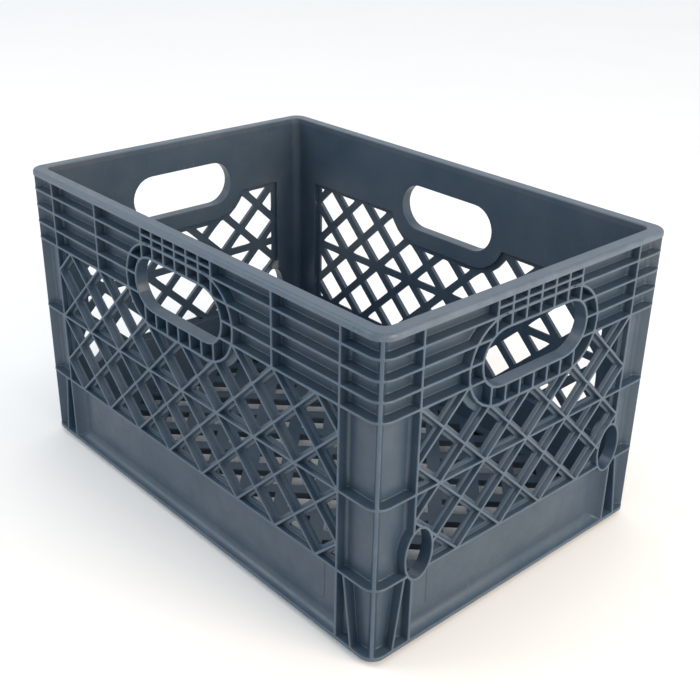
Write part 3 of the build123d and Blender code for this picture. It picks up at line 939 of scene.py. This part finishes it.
def plastic(name, colour, wear_and_highlight_gain):
    """Moulded plastic: mottled, finely grained, scuffed at its foot, lightened along its rib
    edges and rim's top as scuffs with painted highlight, with painted shade in the recesses."""
    t = Tree(name)
    place = t.add("TexCoord", {}, out=3)
    height = t.add("SeparateXYZ", {0: place}, out=2)

    # Depth behind the rib edges, from a rounded box about the crate.
    half_x, half_y = HALF_LENGTH - OVERHANG - RIB_CORNER, HALF_WIDTH - OVERHANG - RIB_CORNER
    flat = t.vector("MULTIPLY", place, (1, 1, 0))
    beyond = t.vector("SUBTRACT", t.vector("ABSOLUTE", flat), (half_x * MM, half_y * MM, 0))
    outside = t.vector("LENGTH", t.vector("MAXIMUM", beyond, (0, 0, 0)), out=1)
    sides = t.add("SeparateXYZ", {0: beyond}).node.outputs
    within = t.math("MINIMUM", t.math("MAXIMUM", sides[0], sides[1]), 0.0)
    depth = t.math("SUBTRACT", RIB_CORNER * MM, t.math("ADD", outside, within))

    mottle = t.ramp(t.noise(place, MOTTLE, 4.0), 0.34, 0.66)
    grain = t.noise(place, GRAIN, 2.0, 0.6)
    patches = t.noise(place, PATCHES, 6.0, 0.65)
    streaks = t.noise(t.vector("MULTIPLY", place, STREAKS), 1.0, 2.0)

    # Scuffs plus painted highlight: the rib edges and the rim's top are lightened where light
    # catches them, and the foot is lightened by real wear.
    edge = t.ramp(depth, EDGE_WEAR_AND_HIGHLIGHT[0] * MM, EDGE_WEAR_AND_HIGHLIGHT[1] * MM, 1.0, 0.0)
    foot = t.ramp(height, FOOT * MM, (FOOT + FOOT_WEAR) * MM, 1.0, 0.0)
    crown = t.ramp(height, (HEIGHT - CROWN_WEAR_AND_SHEEN[0]) * MM, (HEIGHT - CROWN_WEAR_AND_SHEEN[1]) * MM)
    worn_and_lit = t.math("MAXIMUM", t.math("MAXIMUM", edge, foot), crown)
    wear_and_highlight = t.math("MULTIPLY", worn_and_lit, t.ramp(patches, 0.38, 0.72, 0.35, 0.9))
    wear_and_highlight = t.math("MULTIPLY", wear_and_highlight, wear_and_highlight_gain, clamp=True)
    scratch = t.math("MULTIPLY", t.ramp(streaks, 0.62, 0.74), t.ramp(patches, 0.48, 0.62))
    # Painted shade in the recesses: the skin between the ribs, from 5 mm deep to just short of
    # the inner face, darkened in patches where shade falls.
    deep = t.ramp(depth, 5.0 * MM, RIB_DEPTH * MM)
    painted_recess_shade = t.math("MULTIPLY", deep, t.ramp(depth, 11.0 * MM, 9.6 * MM))
    painted_recess_shade = t.math("MULTIPLY", painted_recess_shade, t.ramp(patches, 0.3, 0.7, 0.25, 0.8))

    def shade(gain, lift=0.0):
        return [value * gain + lift for value in colour] + [1.0]

    red, green, blue = colour
    faded = [red * 1.5, green * 1.16, blue, 1.0]
    tone = t.mix(mottle, shade(0.84), faded)
    tone = t.mix(t.ramp(grain, 0.35, 0.7, 0.0, 0.35), tone, shade(0.72))
    # Painted shade: the recesses darkened towards shade(0.55).
    tone = t.mix(t.math("MULTIPLY", painted_recess_shade, 0.5), tone, shade(0.55))
    tone = t.mix(t.math("MULTIPLY", scratch, 0.5), tone, shade(1.4, SCRATCH_SHIFT))
    # Lighter scuffs, with painted highlight on the rib edges and painted reflection on the rim's
    # top.
    tone = t.mix(wear_and_highlight, tone, shade(1.35, WHITE_SHIFT))
    t.link(tone, t.shader.inputs["Base Color"])

    rough = t.ramp(patches, 0.3, 0.7, 0.30, 0.42)
    rough = t.math("ADD", rough, t.math("MULTIPLY", wear_and_highlight, 0.16))
    rough = t.math("ADD", rough, t.math("MULTIPLY", scratch, 0.15))
    t.link(rough, t.shader.inputs["Roughness"])

    normal = t.bump(t.noise(place, PEEL, 2.0), 0.10 * MM, 0.35)
    normal = t.bump(t.noise(place, FINE_GRAIN, 2.0), 0.03 * MM, 0.45, normal)
    normal = t.bump(scratch, 0.05 * MM, 0.4, normal)
    t.link(normal, t.shader.inputs["Normal"])
    return t.material


BODY_COLOUR = (0.034, 0.066, 0.108)
# The rim's colour is lighter than the body's: scuffs plus painted reflection of the bright sky.
RIM_COLOUR = (0.050, 0.082, 0.122)
LOOKS = {
    "crate_body": plastic("body_plastic", BODY_COLOUR, 0.55),
    "crate_ribs": plastic("rib_plastic", BODY_COLOUR, 0.75),
    "crate_rim": plastic("rim_plastic", RIM_COLOUR, 0.8),
}
ROUND_OVER = 0.35 * MM
BEVEL_ANGLE = math.radians(40)
SHARP_ANGLE = math.radians(42)
for name, obj in list(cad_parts.items()) + list(built.items()) + [("rim_marks", marks)]:
    obj.data.materials.clear()
    obj.data.materials.append(LOOKS[slot_of(name)])
for name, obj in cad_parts.items():
    if name not in built and not name.startswith("rim"):
        bevel = obj.modifiers.new("soft_edges", "BEVEL")
        bevel.width, bevel.segments, bevel.angle_limit = ROUND_OVER, 2, BEVEL_ANGLE
for obj in list(built.values()) + [marks]:
    for polygon in obj.data.polygons:
        polygon.use_smooth = True
    obj.data.set_sharp_from_angle(angle=SHARP_ANGLE)
    obj.modifiers.new("even_normals", "WEIGHTED_NORMAL").keep_sharp = True


# ---------------------------------------------------------------- floor, light and camera
FLOOR_REACH = 8.0
floor_mesh = bpy.data.meshes.new("floor")
corners = [(x * FLOOR_REACH, y * FLOOR_REACH, 0) for x, y in ((-1, -1), (1, -1), (1, 1), (-1, 1))]
floor_mesh.from_pydata(corners, [], [(0, 1, 2, 3)])
floor = bpy.data.objects.new("floor", floor_mesh)
bpy.context.scene.collection.objects.link(floor)
paper = Tree("pale_floor")
clouds = paper.noise(paper.add("TexCoord", {}, out=3), 3.0)
paper_tone = paper.mix(clouds, (0.90, 0.90, 0.90, 1), (0.94, 0.94, 0.94, 1))
paper.link(paper_tone, paper.shader.inputs["Base Color"])
paper.shader.inputs["Roughness"].default_value = 0.9
floor_mesh.materials.append(paper.material)


def area_light(name, place, size, power, colour):
    """A soft square light that looks at the crate."""
    light = bpy.data.lights.new(name, "AREA")
    light.size, light.energy, light.color = size, power, colour
    obj = bpy.data.objects.new(name, light)
    obj.location = place
    aim = Vector((0, 0, HEIGHT * MM / 2)) - Vector(place)
    obj.rotation_euler = aim.to_track_quat("-Z", "Y").to_euler()
    bpy.context.scene.collection.objects.link(obj)


LIGHT_SIZE = 1.2
area_light("key", (-1.3, -1.5, 1.6), LIGHT_SIZE, 14.0, (0.92, 0.97, 1.0))
area_light("warm_fill", (2.0, 0.3, 0.9), LIGHT_SIZE, 40.0, (1.0, 0.81, 0.62))
world = bpy.data.worlds.new("studio")
world.use_nodes = True
sky = world.node_tree.nodes["Background"].inputs
sky["Color"].default_value = (0.95, 0.98, 1.0, 1)
sky["Strength"].default_value = 0.98
bpy.context.scene.world = world
bpy.context.scene.view_settings.view_transform = "Standard"

SENSOR, LENS = 36, 55.652    # mm
CAMERA_PLACE = (0.68371, -0.60175, 0.57882)
CAMERA_TURN = (63.7266, -1.1453, 47.8831)   # degrees
camera_data = bpy.data.cameras.new("camera")
camera_data.sensor_width, camera_data.lens = SENSOR, LENS
camera = bpy.data.objects.new("camera", camera_data)
camera.location = CAMERA_PLACE
camera.rotation_euler = [math.radians(angle) for angle in CAMERA_TURN]
bpy.context.scene.collection.objects.link(camera)
bpy.context.scene.camera = camera
